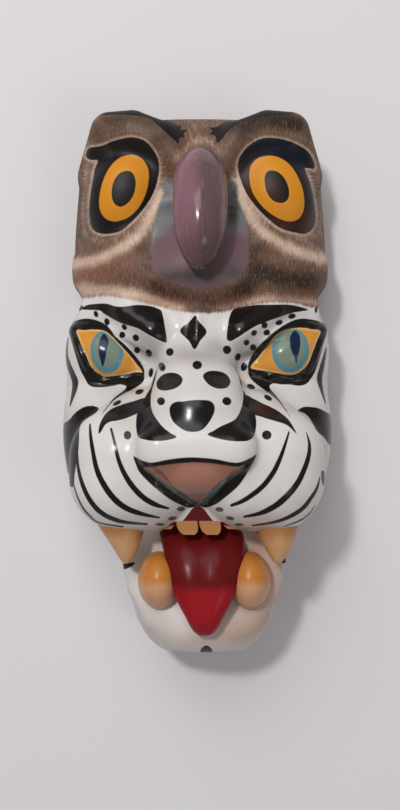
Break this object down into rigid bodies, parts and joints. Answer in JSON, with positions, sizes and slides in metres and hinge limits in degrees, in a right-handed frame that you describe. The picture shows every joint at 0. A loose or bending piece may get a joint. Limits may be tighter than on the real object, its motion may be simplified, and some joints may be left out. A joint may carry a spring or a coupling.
{
  "type": "carved animal mask",
  "caption": "Carved and painted wooden mask, hollow behind: an owl's head above a tiger's face with an open jaw, tongue and teeth.",
  "frame": {"origin": "middle of the mask's box in X and Y, on the flat back rim it lies on", "axes": "+Z out of the face, +Y up the face to the owl, +X to the viewer's right when facing it"},
  "size_m": [0.1982, 0.3864, 0.147],
  "materials": {
    "painted_balsa": "acrylic paint under gloss lacquer"
  },
  "bodies": {
    "root": {"mask": "painted_balsa"}
  },
  "joints": []
}
